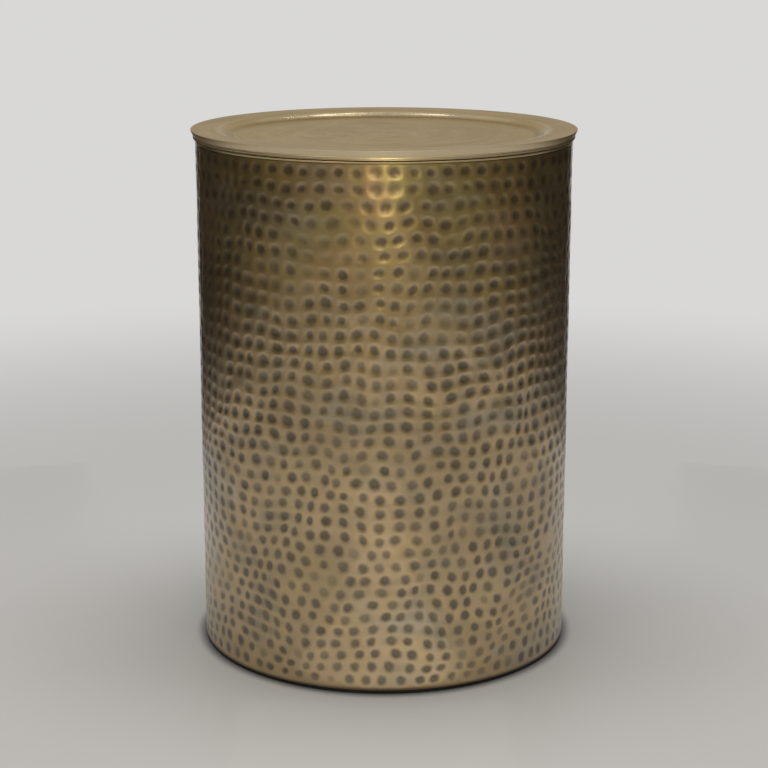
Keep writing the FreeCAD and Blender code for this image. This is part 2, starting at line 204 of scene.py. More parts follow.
# %% Each mark's place, size and strength
MARK_RADIUS, RADIUS_VARIES, SMALLEST_RADIUS = 6.1, 0.55, 4.7
MOST_OF_CELL = 0.965
BOWL_SHARE, EDGE_SHARE = 0.52, 1.02
STRAY_ROUND, STRAY_UP = 1.25, 0.5
GROUP_VARIES, STRENGTH_VARIES, STRONGEST = 0.06, 0.11, 1.12
FAINT_SHARE, FAINT_STRENGTH, MISSED_SHARE = 0.04, 0.5, 0.004
MARK_DEPTH = 0.62
TONE, PALER_GROUPS, DARKEST = 0.98, 0.16, 1.05

field = (MARK_ROWS, MARKS_ROUND)
half_pitch = pitch[:, None] / 2
mark_radius = np.clip(hand.normal(MARK_RADIUS, RADIUS_VARIES, field),
                      SMALLEST_RADIUS, half_pitch * MOST_OF_CELL)
spare_up = half_pitch - EDGE_SHARE * mark_radius
spare_round = MARK_STEPS / 2 * step_round - EDGE_SHARE * mark_radius
cell_middle = np.arange(MARKS_ROUND)[None, :] * MARK_STEPS + MARK_STEPS / 2
mark_across = (row_shift[:, None] + cell_middle) * step_round
mark_across += np.clip(hand.normal(0, STRAY_ROUND, field), -spare_round, spare_round)
mark_up = (row_edge[:-1, None] + row_edge[1:, None]) / 2
mark_up = mark_up + np.clip(hand.normal(0, STRAY_UP, field), -spare_up, spare_up)

group = drift(31, mark_across / WALL_RADIUS, mark_up, (3, 12), (70, 200))
strength = 1 + GROUP_VARIES * group + hand.normal(0, STRENGTH_VARIES, field)
strength = np.where(hand.random(field) < FAINT_SHARE, FAINT_STRENGTH, strength)
strength = np.where(hand.random(field) < MISSED_SHARE, 0.0, strength)
mark_depth = MARK_DEPTH * np.clip(strength, 0, STRONGEST)
mark_tone = np.clip(TONE * strength + PALER_GROUPS * np.minimum(group, 0), 0, DARKEST)
print("marks", mark_depth.size, "mean width", 2 * mark_radius.mean(), "mm")

# %% [markdown]
# The surface itself is a function of two numbers, the way round and the way up. From the plain
# cylinder it goes in by a slight dent of the sheet and by the marks near that point. A mark is a
# bowl, depth times (1 - distance squared) squared, whose edge runs out level. Where two bowls
# meet, the deeper one wins softly, so that a ridge stays between them.

# %% The hammered surface
BOWL_SPREAD = 1.2
DENT, DENT_VARIES, DEEPEST_DENT = 0.2, 0.6, 1.7
ROW_DRIFT, COLUMN_DRIFT, WOBBLE = 2.6, 2.6, 1.1
CALM_REACH = 26.0


def short_way(away):
    """The same distance round the wall, counted the short way."""
    return away - np.round(away / WALL_GIRTH) * WALL_GIRTH


def marks_at(across, up, row):
    """Depth of the hammer marks at points, from the marks of the point's row and its neighbours.

    The bowls' depths are joined as (sum of depth to the fourth) to the power of a quarter.
    """
    total = np.zeros(across.shape)
    for other in (-1, 0, 1):
        line = np.clip(row + other, 0, MARK_ROWS - 1)
        counted = row + other == line
        nearest = np.floor((across / step_round - row_shift[line]) / MARK_STEPS).astype(int)
        for beside in (-1, 0, 1):
            number = (nearest + beside) % MARKS_ROUND
            away = short_way(across - mark_across[line, number])
            reach = BOWL_SPREAD * mark_radius[line, number]
            distance = (away ** 2 + (up - mark_up[line, number]) ** 2) / reach ** 2
            bowl = mark_depth[line, number] * np.clip(1 - distance, 0, 1) ** 2
            total += counted * bowl ** 4
    return total ** 0.25


def wall_points(across, up, row):
    """Points of the hammered face: the cylinder, drifted sideways and up, less dents and marks."""
    angle = across / WALL_RADIUS
    calm = near_ends(up, HAMMER_FOOT, HAMMER_TOP, CALM_REACH)
    dent = DENT * (1 + DENT_VARIES * drift(5, angle, up, (5, 22), (50, 170))) * calm
    radius = WALL_RADIUS - np.clip(dent, 0, DEEPEST_DENT * DENT) - marks_at(across, up, row)
    sideways = (COLUMN_DRIFT * drift(6, angle, up, (2, 8), (140, 400))
                + WOBBLE * drift(8, angle, up, (9, 22), (60, 140))) * calm
    upwards = (ROW_DRIFT * drift(7, angle, up, (2, 7), (150, 400))
               + WOBBLE * drift(9, angle, up, (9, 22), (80, 160))) * calm
    return round_points(radius, up + upwards, angle + sideways / WALL_RADIUS)


# %% [markdown]
# The grid follows the marks. Each mark has a cell of six by six quads, whose square rings of
# points are drawn in to circles round the mark's middle, one in the bowl and one on its edge. So
# every mark is round and sharp with few faces, and rows can be shifted by whole steps. Within its
# cell, a point's place runs from -1 to 1 each way.

# %% Cells of the grid
line_number = np.arange(MARK_ROWS * MARK_STEPS + 1)
cell_row = np.minimum(line_number // MARK_STEPS, MARK_ROWS - 1)
column_number = np.arange(columns)
in_row = (line_number - cell_row * MARK_STEPS)[:, None] / (MARK_STEPS / 2) - 1
up_grid = row_edge[cell_row] + (in_row[:, 0] + 1) / 2 * pitch[cell_row]
steps_in = column_number[None, :] - row_shift[cell_row][:, None]
cell_column = (steps_in // MARK_STEPS) % MARKS_ROUND
in_column = (steps_in % MARK_STEPS) / (MARK_STEPS / 2) - 1
print("grid of", len(line_number), "lines and", columns, "columns")

# %% [markdown]
# The larger of a point's two distances from the middle says which square ring it is on, and the
# smaller one how far it is along the ring's side. That share of an eighth of a turn is the point's
# direction on the circle. The outermost ring stays a square, where one cell meets the next.

# %% Square rings drawn in to circles
ring_size = np.maximum(np.abs(in_row), np.abs(in_column))
ring = np.round(ring_size * MARK_STEPS / 2).astype(int)
in_cell = ring < MARK_STEPS // 2
share = np.array([0.0, BOWL_SHARE, EDGE_SHARE, 1.0])[ring]
side_on = np.abs(in_column) >= np.abs(in_row)
longer = np.where(side_on, in_column, in_row)
shorter = np.where(side_on, in_row, in_column)
slant = math.pi / 4 * np.divide(shorter, longer, out=np.zeros(ring.shape), where=longer != 0)
along_longer = np.sign(longer) * np.cos(slant)
along_shorter = np.sign(longer) * np.sin(slant)
unit_across = np.where(side_on, along_longer, along_shorter)
unit_up = np.where(side_on, along_shorter, along_longer)

row_of = np.broadcast_to(cell_row[:, None], ring.shape)
drawn_in = share * mark_radius[row_of, cell_column]
plain_across = np.broadcast_to(column_number * step_round, ring.shape)
middle_across = mark_across[row_of, cell_column]
middle_across += np.round((plain_across - middle_across) / WALL_GIRTH) * WALL_GIRTH
across = np.where(in_cell, middle_across + drawn_in * unit_across, plain_across)
up = np.where(in_cell, mark_up[row_of, cell_column] + drawn_in * unit_up, up_grid[:, None])
face_points = wall_points(across, up, row_of)
print("face grid", face_points.shape, "smallest radius",
      float(np.hypot(face_points[..., 0], face_points[..., 1]).min()))

# %% [markdown]
# Above the marks come a scribed groove and a thin bead, which catches the light as a bright line
# under the tray's rim. Then a rounded shoulder turns the sheet inwards, where the tray sits on it.
# Inside, the wall is smooth. At the foot a hem turns in, and the wall's own edge hangs a little
# below it. Rings of points along that outline close the skin into one shell of sheet thickness.

# %% The rest of the wall's outline
WALL_FOOT, WALL_TOP = 4.5, 488.1
SHEET = 1.2
SHOULDER_ROUND, SHOULDER_EDGE = 2.2, 168.0
HEM_ROUND, HEM_EDGE = 1.8, 160.0
GROOVE_DEPTH, GROOVE_LEVEL = 0.35, 485.6
BEAD_ROUND, BEAD_OUT, BEAD_LEVEL = 0.75, 0.35, 486.95
FOOT_LEVEL, FOOT_ROUND, FOOT_INSET = 3.2, 0.22, 0.24
inner_radius = WALL_RADIUS - SHEET
hem_top, under_shoulder = WALL_FOOT + SHEET, WALL_TOP - SHEET
foot_middle = WALL_RADIUS - FOOT_INSET
outline = [(WALL_RADIUS - GROOVE_DEPTH, GROOVE_LEVEL)]
outline += arc_points((WALL_RADIUS + BEAD_OUT - BEAD_ROUND, BEAD_LEVEL), BEAD_ROUND, -60, 80, 6)
outline += arc_points((WALL_RADIUS - SHOULDER_ROUND, WALL_TOP - SHOULDER_ROUND), SHOULDER_ROUND,
                      60, 90, 2)
outline += [(SHOULDER_EDGE, WALL_TOP), (SHOULDER_EDGE, under_shoulder),
            (inner_radius, under_shoulder), (inner_radius, hem_top),
            (HEM_EDGE, hem_top), (HEM_EDGE, WALL_FOOT), (foot_middle - FOOT_ROUND, WALL_FOOT)]
outline += arc_points((foot_middle, FOOT_LEVEL + FOOT_ROUND), FOOT_ROUND, 180, 360, 3)
outline += [(WALL_RADIUS, WALL_FOOT + HEM_ROUND)]
outline = np.array(outline)
ring_angle = column_number * step_round / WALL_RADIUS
ring_points = round_points(outline[:, 0, None], outline[:, 1, None], ring_angle[None, :])
shell_points = np.concatenate([face_points, ring_points])
shell_quads = grid_quads(len(shell_points), columns, closed=True)
wall = add_piece("hammered_wall", shell_points, shell_quads.tolist(), 50)
print("triangles", 2 * len(shell_quads))

# %% [markdown]
# A few faces for each mark would shade as facets. So the shading direction at each point is taken
# from the exact surface: two small steps, one round and one up, give two slopes, and their cross
# product points outwards. Points off the hammered face keep Blender's own directions.

# %% Exact shading directions for the marks
PROBE = 0.15
round_slope = wall_points(across + PROBE, up, row_of) - wall_points(across - PROBE, up, row_of)
up_slope = wall_points(across, up + PROBE, row_of) - wall_points(across, up - PROBE, row_of)
facing = np.cross(round_slope, up_slope)
facing /= np.linalg.norm(facing, axis=-1, keepdims=True)
directions = np.concatenate([facing.reshape(-1, 3), np.zeros((ring_points.size // 3, 3))])
wall.data.normals_split_custom_set_from_vertices(directions.tolist())
outwards = (facing[..., :2] * face_points[..., :2]).sum(-1)
outwards /= np.linalg.norm(face_points[..., :2], axis=-1)
print("steepest mark", math.degrees(math.acos(outwards.min())), "degrees")

# %% [markdown]
# The finish collects in the marks, so the material has to know where each mark is. A UV map gives
# every quad its place seen from the middle of its own mark, in radii of the mark, so distance 1 is
# the mark's edge. Two numbers kept on the faces give each mark's darkness and a random shade.

# %% Where each mark is, for the material
FAR_FROM_MARKS = 4.0
quad_row = np.repeat(np.arange(MARK_ROWS), MARK_STEPS)
quad_column = ((column_number[None, :] - row_shift[quad_row][:, None]) // MARK_STEPS) % MARKS_ROUND
quad_row = np.broadcast_to(quad_row[:, None], quad_column.shape)
line_of = np.arange(MARK_ROWS * MARK_STEPS)[:, None, None] + np.array([0, 0, 1, 1])
column_of = (column_number[None, :, None] + np.array([0, 1, 1, 0])) % columns
seen_across = short_way(across[line_of, column_of] - mark_across[quad_row, quad_column][..., None])
seen_up = up[line_of, column_of] - mark_up[quad_row, quad_column][..., None]
one_radius = mark_radius[quad_row, quad_column][..., None]
place = np.full((len(shell_quads) * 4, 2), FAR_FROM_MARKS)
place[:seen_across.size, 0] = (seen_across / one_radius).ravel()
place[:seen_across.size, 1] = (seen_up / one_radius).ravel()
wall.data.uv_layers.new(name="from_mark").data.foreach_set("uv", place.ravel())

mark_shade = hand.random(field)
for label, values in (("mark_tone", mark_tone), ("mark_shade", mark_shade)):
    on_faces = np.zeros(len(shell_quads))
    on_faces[:quad_row.size] = values[quad_row, quad_column].ravel()
    wall.data.attributes.new(label, "FLOAT", "FACE").data.foreach_set("value", on_faces)
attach(wall, "root")
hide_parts("body_shell")
print("marks mapped on", quad_row.size, "quads")

# %% [markdown]
# The top is one sheet spun on a lathe: a flat floor, a curved step up, a nearly flat ring and a
# rim that turns down and leans in. A bead stiffens the rim's lower edge, and a short neck under it
# hides the felt. An outline turned round the axis gives it, and its curves are true arcs. The
# step is two equal arcs, one hollow and one bulging, that meet halfway up.

# %% Sizes of the tray
tray_low, tray_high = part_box("top_tray")
TRAY_ROUND = min(-tray_low.x, tray_high.x, -tray_low.y, tray_high.y) / MM
FAN_RADIUS, FLOOR_EDGE, FLOOR_LEVEL = 6.0, 142.0, 491.6
FLOOR_RUN_OUT = 4.0
COVE_ROUND = 12.92
RING_EDGE, RING_LEVEL = 157.0, 496.4
RIM_TOP, RIM_BASE = 497.5, 489.1
LIP_ROUND, SIDE_ROUND = 0.3, 24.8
SIDE_START, SIDE_END = -19, -31
RIM_BEAD_ROUND, RIM_BEAD_TALL, RIM_BEAD_LEVEL = 0.6, 1.2, 490.2
RIM_BEAD_PROUD, RIM_BEAD_LEAN = 0.15, 0.1
NECK_RADIUS, NECK_FOOT = 177.7, 488.45
NECK_THICK, NECK_CORNER = 0.8, 0.2

cove_turn = math.degrees(math.asin((RING_EDGE - FLOOR_EDGE) / 2 / COVE_ROUND))
lip_centre = (TRAY_ROUND - LIP_ROUND, RIM_TOP - LIP_ROUND)
pull = SIDE_ROUND - LIP_ROUND
side_centre = (lip_centre[0] - pull * math.cos(math.radians(SIDE_START)),
               lip_centre[1] - pull * math.sin(math.radians(SIDE_START)))
side_foot = side_centre[0] + SIDE_ROUND * math.cos(math.radians(SIDE_END))
bead_low = (side_foot - RIM_BEAD_ROUND + RIM_BEAD_PROUD, RIM_BEAD_LEVEL)
bead_high = (bead_low[0] - RIM_BEAD_LEAN, RIM_BEAD_LEVEL + RIM_BEAD_TALL)
print("tray radius", TRAY_ROUND, "step turns", cove_turn, "degrees, bead at", bead_low)

# %% [markdown]
# The sheet has two faces. From the middle to the lip, the lower face is the upper one set in by
# the sheet's thickness, and a few straight lines do for the hidden inside of the rim. The two are
# joined into one line from the middle of the lower face, out to the rim and round it, and back to
# the middle of the upper face.

# %% Outline of the tray


def tray_outline(inset):
    """(radius, level) points from the middle of the floor to the lip, inset into the sheet.

    An inset arc keeps its centre: its radius shrinks where it bulges out, and grows where it
    hollows in.
    """
    floor = [(r, FLOOR_LEVEL - inset)
             for r in np.linspace(FAN_RADIUS, FLOOR_EDGE - FLOOR_RUN_OUT, 24)]
    hollow = arc_points((FLOOR_EDGE, FLOOR_LEVEL + COVE_ROUND), COVE_ROUND + inset,
                        -90, -90 + cove_turn, 12)
    crown = arc_points((RING_EDGE, RING_LEVEL - COVE_ROUND), COVE_ROUND - inset,
                       90 + cove_turn, 90, 12)
    ends = [RING_EDGE, lip_centre[0]]
    flat = [(r, np.interp(r, ends, [RING_LEVEL, RIM_TOP]) - inset)
            for r in np.linspace(*ends, 8)[1:-1]]
    return floor + hollow + crown[1:] + flat


rim = arc_points(lip_centre, LIP_ROUND, 90, SIDE_START, 9)
rim += arc_points(side_centre, SIDE_ROUND, SIDE_START, SIDE_END, 9)[1:]
rim += arc_points(bead_high, RIM_BEAD_ROUND, 60, 5, 5)
rim += arc_points(bead_low, RIM_BEAD_ROUND, 5, -80, 7)
rim += [(NECK_RADIUS, RIM_BEAD_LEVEL - RIM_BEAD_ROUND), (NECK_RADIUS, NECK_FOOT + NECK_CORNER),
        (NECK_RADIUS - NECK_CORNER, NECK_FOOT),
        (NECK_RADIUS - NECK_THICK + NECK_CORNER, NECK_FOOT),
        (NECK_RADIUS - NECK_THICK, RIM_BASE)]
upper = tray_outline(0.0) + rim
lower = tray_outline(SHEET) + [(lip_centre[0] - SHEET, RIM_TOP - 2 * SHEET),
                               (NECK_RADIUS - SHEET, RIM_BASE + SHEET),
                               (SHOULDER_EDGE, RIM_BASE + SHEET), (SHOULDER_EDGE, RIM_BASE)]
tray_line = np.array(lower + upper[::-1])
print("outline points", len(tray_line))

# %% [markdown]
# Thin sheet is never perfectly flat: the floor of the tray bows by a tenth of a millimetre or so,
# which is enough to bend what it mirrors. The bow is the same above and below, and it fades out
# before the curved step. A fan of triangles closes the middle on each side.

# %% The tray
TRAY_COLUMNS = 288
FLOOR_BOW, BOW_FADE = 0.1, 40.0
tray_angle = np.arange(TRAY_COLUMNS) * 2 * math.pi / TRAY_COLUMNS
radius_of = tray_line[:, 0, None]
bow = FLOOR_BOW * drift(11, tray_angle[None, :], radius_of, (1, 6), (60, 200))
bow *= near_ends(radius_of, 0.0, FLOOR_EDGE, BOW_FADE)
tray_points = round_points(radius_of, tray_line[:, 1, None] + bow, tray_angle[None, :])
middles = np.array([[0, 0, FLOOR_LEVEL - SHEET], [0, 0, FLOOR_LEVEL]])
every_point = np.concatenate([tray_points.reshape(-1, 3), middles])
under_middle, over_middle = len(every_point) - 2, len(every_point) - 1
quads = grid_quads(len(tray_line), TRAY_COLUMNS, closed=False).tolist()
first = np.arange(TRAY_COLUMNS)
after = (first + 1) % TRAY_COLUMNS
last = (len(tray_line) - 1) * TRAY_COLUMNS
under_fan = np.stack([after, first, np.full_like(first, under_middle)], axis=-1)
over_fan = np.stack([last + first, last + after, np.full_like(first, over_middle)], axis=-1)
tray = add_piece("spun_tray", every_point, quads + under_fan.tolist() + over_fan.tolist(), 40)
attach(tray, "root")
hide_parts("top_tray")

# %% [markdown]
# Finishes are built from shader nodes. Short helpers keep the recipes readable. The first ones
# add a node and set or link its sockets, do arithmetic, mix two colours, and turn one range of
# values into another. The rest are made of these.

# %% Helpers for shader nodes


def add_node(tree, kind, wires=None, **settings):
    """A node of that kind, with its settings, and each named socket set or linked."""
    node = tree.nodes.new("ShaderNode" + kind)
    for setting, value in settings.items():
        setattr(node, setting, value)
    for socket, value in (wires or {}).items():
        if isinstance(value, bpy.types.NodeSocket):
            tree.links.new(value, node.inputs[socket])
        else:
            node.inputs[socket].default_value = value
    return node


def calc(tree, operation, *values, clamp=False):
    """Arithmetic on values, each a number or another node's output."""
    node = add_node(tree, "Math", dict(enumerate(values)), operation=operation, use_clamp=clamp)
    return node.outputs[0]


def blend(tree, share, first, second):
    """The first colour where share is 0 and the second where it is 1."""
    wires = {0: share, 6: first, 7: second}
    return add_node(tree, "Mix", wires, data_type="RGBA").outputs[2]


def ramp(tree, value, low, high, start=0.0, end=1.0):
    """Goes smoothly from start to end as the value goes from low to high."""
    wires = {"Value": value, 1: low, 2: high, 3: start, 4: end}
    return add_node(tree, "MapRange", wires, interpolation_type="SMOOTHSTEP").outputs[0]


def band(tree, value, middle, core, edge, most=1.0):
    """Most within core of a middle value, fading smoothly to 0 at edge on both sides of it."""
    off = calc(tree, "ABSOLUTE", calc(tree, "SUBTRACT", value, middle))
    return ramp(tree, off, core, edge, most, 0.0)


def product(tree, *values):
    """All the values multiplied together."""
    total = values[0]
    for value in values[1:]:
        total = calc(tree, "MULTIPLY", total, value)
    return total


def cover(tree, below, colour, *shares):
    """A colour covered by another one, as far as the product of the shares says."""
    return blend(tree, product(tree, *shares), below, colour)


def noise(tree, vector, scale, detail=2.0, roughness=0.5):
    """Soft random values between 0 and 1, so many to the metre."""
    wires = {"Vector": vector, "Scale": scale, "Detail": detail, "Roughness": roughness}
    return add_node(tree, "TexNoise", wires).outputs[0]


def object_place(tree):
    """Where a point is on the object: metres from the middle of the foot."""
    return add_node(tree, "TexCoord").outputs["Object"]


# %% [markdown]
# An effect that several finishes use is a node group. It is built once, its inputs have names and
# defaults, and each finish places it with its own values. Every output here is a single number.

# %% Making and placing node groups


def new_group(name, inputs, outputs):
    """A node group with number inputs, each with a default, and number outputs."""
    group = bpy.data.node_groups.new(name, "ShaderNodeTree")
    for label, default in inputs.items():
        socket = group.interface.new_socket(name=label, in_out="INPUT",
                                            socket_type="NodeSocketFloat")
        socket.default_value = default
    for label in outputs:
        group.interface.new_socket(name=label, in_out="OUTPUT", socket_type="NodeSocketFloat")
    entry = group.nodes.new("NodeGroupInput")
    leave = group.nodes.new("NodeGroupOutput")
    print("node group", name)
    return group, entry.outputs, leave.inputs


def use_group(tree, group, **values):
    """Places a group in a tree, with its inputs set. Returns its outputs."""
    node = tree.nodes.new("ShaderNodeGroup")
    node.node_tree = group
    for label, value in values.items():
        node.inputs[label].default_value = value
    return node.outputs


# %% [markdown]
# Clouds give large soft zones where polish has worn or stayed. A Stretch above 1 makes them longer
# round the object than up it. Grain gives a fine even roughness, for felt, plastic and lacquer.

# %% Clouds and grain
clouds, given, out = new_group("clouds", {"Scale": 8.0, "Stretch": 1.0, "Low": 0.35, "High": 0.65},
                               ["Mask"])
flattened = add_node(clouds, "CombineXYZ", {0: 1.0, 1: 1.0, 2: given["Stretch"]}).outputs[0]
spot = add_node(clouds, "VectorMath", {0: object_place(clouds), 1: flattened},
                operation="MULTIPLY").outputs[0]
broad = noise(clouds, spot, given["Scale"], 3.0, 0.55)
clouds.links.new(ramp(clouds, broad, given["Low"], given["High"]), out["Mask"])

grain, given, out = new_group("grain", {"Scale": 900.0}, ["Height"])
grain.links.new(noise(grain, object_place(grain), given["Scale"], 3.0, 0.6), out["Height"])

# %% [markdown]
# Spin lines are rings round the axis left by the lathe. They are soft random values that change
# fast from the axis outwards and slowly round it, so a ring fades in and out on its way. Height is
# the fine lines, Broad the same with fewer and wider ones, and Radius the distance from the axis.

# %% Spin lines
BROAD_SHARE = 0.16
spin_lines, given, out = new_group("spin lines", {"Lines": 900.0, "Break": 3.0},
                                   ["Height", "Broad", "Radius"])
split = add_node(spin_lines, "SeparateXYZ", {0: object_place(spin_lines)}).outputs
flat_place = add_node(spin_lines, "CombineXYZ", {0: split[0], 1: split[1]}).outputs[0]
out_from_axis = add_node(spin_lines, "VectorMath", {0: flat_place}, operation="LENGTH").outputs[1]
spin_lines.links.new(out_from_axis, out["Radius"])
heading = add_node(spin_lines, "VectorMath", {0: flat_place}, operation="NORMALIZE").outputs[0]
turned = add_node(spin_lines, "SeparateXYZ", {0: heading}).outputs
for label, density in (("Height", 1.0), ("Broad", BROAD_SHARE)):
    lathe = add_node(spin_lines, "CombineXYZ", {
        0: product(spin_lines, out_from_axis, product(spin_lines, given["Lines"], density)),
        1: product(spin_lines, turned[0], given["Break"]),
        2: product(spin_lines, turned[1], given["Break"])}).outputs[0]
    spin_lines.links.new(noise(spin_lines, lathe, 1.0, 2.0, 0.6), out[label])

# %% [markdown]
# Scuffs are thin stray scratches. Noise stretched out in one direction crosses its middle value
# along thin lines. Three tilts of it give scratches that cross, and patches keep them to some
# places.

# %% Scuffs
SCUFF_TILTS, SCUFF_WIDTH = (0.4, 2.0, 3.3), 0.012
scuffs, given, out = new_group("scuffs", {"Scale": 30.0, "Amount": 0.1}, ["Mask"])
crossing = []
for tilt in SCUFF_TILTS:
    laid = add_node(scuffs, "Mapping", {0: object_place(scuffs), 2: (tilt, tilt * 1.7, tilt * 0.6),
                                        3: (1.0, 0.06, 0.5)}).outputs[0]
    waves = noise(scuffs, laid, given["Scale"], 1.0, 0.5)
    crossing.append(band(scuffs, waves, 0.5, 0.0, SCUFF_WIDTH))
most = calc(scuffs, "MAXIMUM", calc(scuffs, "MAXIMUM", crossing[0], crossing[1]), crossing[2])
patches = ramp(scuffs, noise(scuffs, object_place(scuffs), 9.0, 2.0), 0.5, 0.72)
scuffs.links.new(product(scuffs, most, patches, given["Amount"]), out["Mask"])

# %% [markdown]
# Every finish ends in a Principled shader. A starter makes the material with that shader in it,
# and sets the constants on the shader's own sockets. A second helper links what varies over the
# surface.

# %% Starting a finish


def new_finish(name, constants):
    """A node material with a Principled shader, and its constants set on the shader's sockets."""
    finish = bpy.data.materials.new(name)
    finish.use_nodes = True
    tree = finish.node_tree
    shader = tree.nodes["Principled BSDF"]
    for socket, value in constants.items():
        shader.inputs[socket].default_value = value
    print("finish", name)
    return finish, tree, shader


def wire_up(tree, shader, colour, rough, height, strength, distance):
    """Links colour and roughness, and turns a height into bumps."""
    tree.links.new(colour, shader.inputs["Base Color"])
    tree.links.new(rough, shader.inputs["Roughness"])
    bump = add_node(tree, "Bump", {"Strength": strength, "Distance": distance, "Height": height})
    tree.links.new(bump.outputs[0], shader.inputs["Normal"])


# %% [markdown]
# The wall is brass, darkened with a patina that was wiped off the high ground and stayed in the
# hammer marks, then lacquered. Distance from the middle of each mark gives a soft dark spot with a
# slightly ragged edge. The scribed groove is dark too. In some patches the cloth also left a
# smudge between the marks of a row.

# %% Where the wall's patina stayed
RAGGED = 0.45
PIT_CORE, PIT_EDGE = 0.38, 1.12
GROOVE_CORE, GROOVE_EDGE = 0.0002, 0.0007
SMUDGE_SHARE = 0.7
hammered, tree, shader = new_finish("hammered antique brass", {
    "Metallic": 1.0, "Coat Weight": 0.7, "Coat Roughness": 0.2})
from_mark = add_node(tree, "UVMap", uv_map="from_mark").outputs[0]
spot = object_place(tree)
ragged = product(tree, calc(tree, "SUBTRACT", noise(tree, spot, 240.0, 2.0), 0.5), RAGGED)
distance = add_node(tree, "VectorMath", {0: from_mark}, operation="LENGTH").outputs[1]
distance = calc(tree, "ADD", distance, ragged)
tone = add_node(tree, "Attribute", attribute_name="mark_tone").outputs["Fac"]
pit = calc(tree, "MULTIPLY", ramp(tree, distance, PIT_CORE, PIT_EDGE, 1.0, 0.0), tone, clamp=True)
height = add_node(tree, "SeparateXYZ", {0: spot}).outputs[2]
groove = band(tree, height, GROOVE_LEVEL * MM, GROOVE_CORE, GROOVE_EDGE)
pit = calc(tree, "MAXIMUM", pit, groove)

off_row = calc(tree, "ABSOLUTE", add_node(tree, "SeparateXYZ", {0: from_mark}).outputs[1])
in_row = ramp(tree, calc(tree, "ADD", off_row, ragged), 0.2, 1.1, 1.0, 0.35)
patches = use_group(tree, clouds, Scale=13.0, Stretch=1.25, Low=0.52, High=0.72)["Mask"]
smudge = product(tree, in_row, patches, SMUDGE_SHARE)

# %% [markdown]
# Under the patina the brass isn't one colour. Clouds of several sizes lie over each other, like
# thin washes of paint: large golden and brown zones, greyish bloom, fine streaks and small stains.
# Towards the top, olive clouds in some places and rust-coloured ones in others cover the brass,
# and the marks turn a darker, redder brown.

# %% Colours of the wall
DEEP_GOLD, PALE_GOLD = (0.54, 0.395, 0.205, 1), (0.67, 0.49, 0.255, 1)
PINK_GOLD, OLIVE, RUST = (0.60, 0.455, 0.29, 1), (0.57, 0.475, 0.195, 1), (0.66, 0.40, 0.225, 1)
BLOOM, STREAK = (0.45, 0.43, 0.365, 1), (0.40, 0.32, 0.205, 1)
STAIN, SMUDGE = (0.36, 0.275, 0.155, 1), (0.24, 0.225, 0.175, 1)
DARK_PIT, PALE_PIT = (0.165, 0.13, 0.082, 1), (0.215, 0.17, 0.11, 1)
STAINED_PIT, RED_PIT = (0.25, 0.215, 0.16, 1), (0.15, 0.10, 0.052, 1)
UPPER_START, UPPER_FULL = 0.31, 0.47
zones = use_group(tree, clouds, Scale=7.0, Stretch=1.6, Low=0.38, High=0.64)["Mask"]
hue = use_group(tree, clouds, Scale=38.0, Low=0.35, High=0.65)["Mask"]
olive = use_group(tree, clouds, Scale=11.0, Stretch=1.3, Low=0.4, High=0.6)["Mask"]
rust = use_group(tree, clouds, Scale=17.0, Stretch=0.6, Low=0.5, High=0.68)["Mask"]
bloom = use_group(tree, clouds, Scale=9.0, Stretch=2.4, Low=0.52, High=0.68)["Mask"]
streaks = use_group(tree, clouds, Scale=26.0, Stretch=2.6, Low=0.3, High=0.72)["Mask"]
stain = use_group(tree, clouds, Scale=60.0, Low=0.35, High=0.7)["Mask"]
upper_wall = ramp(tree, height, UPPER_START, UPPER_FULL)

land = blend(tree, zones, DEEP_GOLD, PALE_GOLD)
land = cover(tree, land, PINK_GOLD, hue, 0.45)
land = cover(tree, land, OLIVE, olive, upper_wall, 0.75)
land = cover(tree, land, RUST, rust, upper_wall, 0.7)
land = cover(tree, land, BLOOM, bloom, 0.5)
land = cover(tree, land, STREAK, streaks, 0.35)
land = cover(tree, land, STAIN, stain, 0.28)
land = cover(tree, land, SMUDGE, smudge)
shade = add_node(tree, "Attribute", attribute_name="mark_shade").outputs["Fac"]
bottom = blend(tree, shade, DARK_PIT, PALE_PIT)
bottom = cover(tree, bottom, STAINED_PIT, stain, 0.4)
bottom = cover(tree, bottom, RED_PIT, upper_wall, 0.65)
colour = blend(tree, pit, land, bottom)
rough = calc(tree, "ADD", product(tree, pit, 0.1), ramp(tree, zones, 0.0, 1.0, 0.36, 0.29))
fine_grain = use_group(tree, grain, Scale=1400.0)["Height"]
wire_up(tree, shader, colour, rough, fine_grain, 0.05, 0.0001)
wall.data.materials.append(hammered)

# %% [markdown]
# The tray is the same brass, without hammer marks. The lathe left fine rings in it, which spread
# highlights sideways, and the patina lies in it as thin rings and faint clouds. A brown band at
# the foot of the step is partly patina and partly painted shade in the recess, and a fainter
# brown band lies just beyond the step's head. Where the rim's side faces sideways it is painted
# lighter, a painted reflection. The step itself is the smoothest part.

# %% Spun antique brass
DEEP_BRASS, PALE_BRASS = (0.51, 0.415, 0.277, 1), (0.62, 0.51, 0.34, 1)
MOTTLED, RING_BROWN = (0.47, 0.37, 0.235, 1), (0.43, 0.345, 0.222, 1)
COVE_PATINA_AND_SHADE, CROWN_BROWN = (0.22, 0.165, 0.10, 1), (0.33, 0.25, 0.17, 1)
PAINTED_SIDE_SHEEN, SCRATCHED = (0.73, 0.61, 0.415, 1), (0.62, 0.52, 0.36, 1)
COVE_MIDDLE, CROWN_MIDDLE, STEP_MIDDLE = FLOOR_EDGE + 3, RING_EDGE + 5, RING_EDGE - 6
STEP_SMOOTHER, SIDE_ROUGHER = 0.12, 0.07
spun, tree, shader = new_finish("spun antique brass", {
    "Metallic": 1.0, "Specular Tint": (0.66, 0.57, 0.41, 1)})
rings = use_group(tree, spin_lines, Lines=620.0, Break=1.6)
from_axis = calc(tree, "DIVIDE", rings["Radius"], MM)
zones = use_group(tree, clouds, Scale=9.0, Low=0.35, High=0.68)["Mask"]
mottle = use_group(tree, clouds, Scale=34.0, Low=0.3, High=0.72)["Mask"]
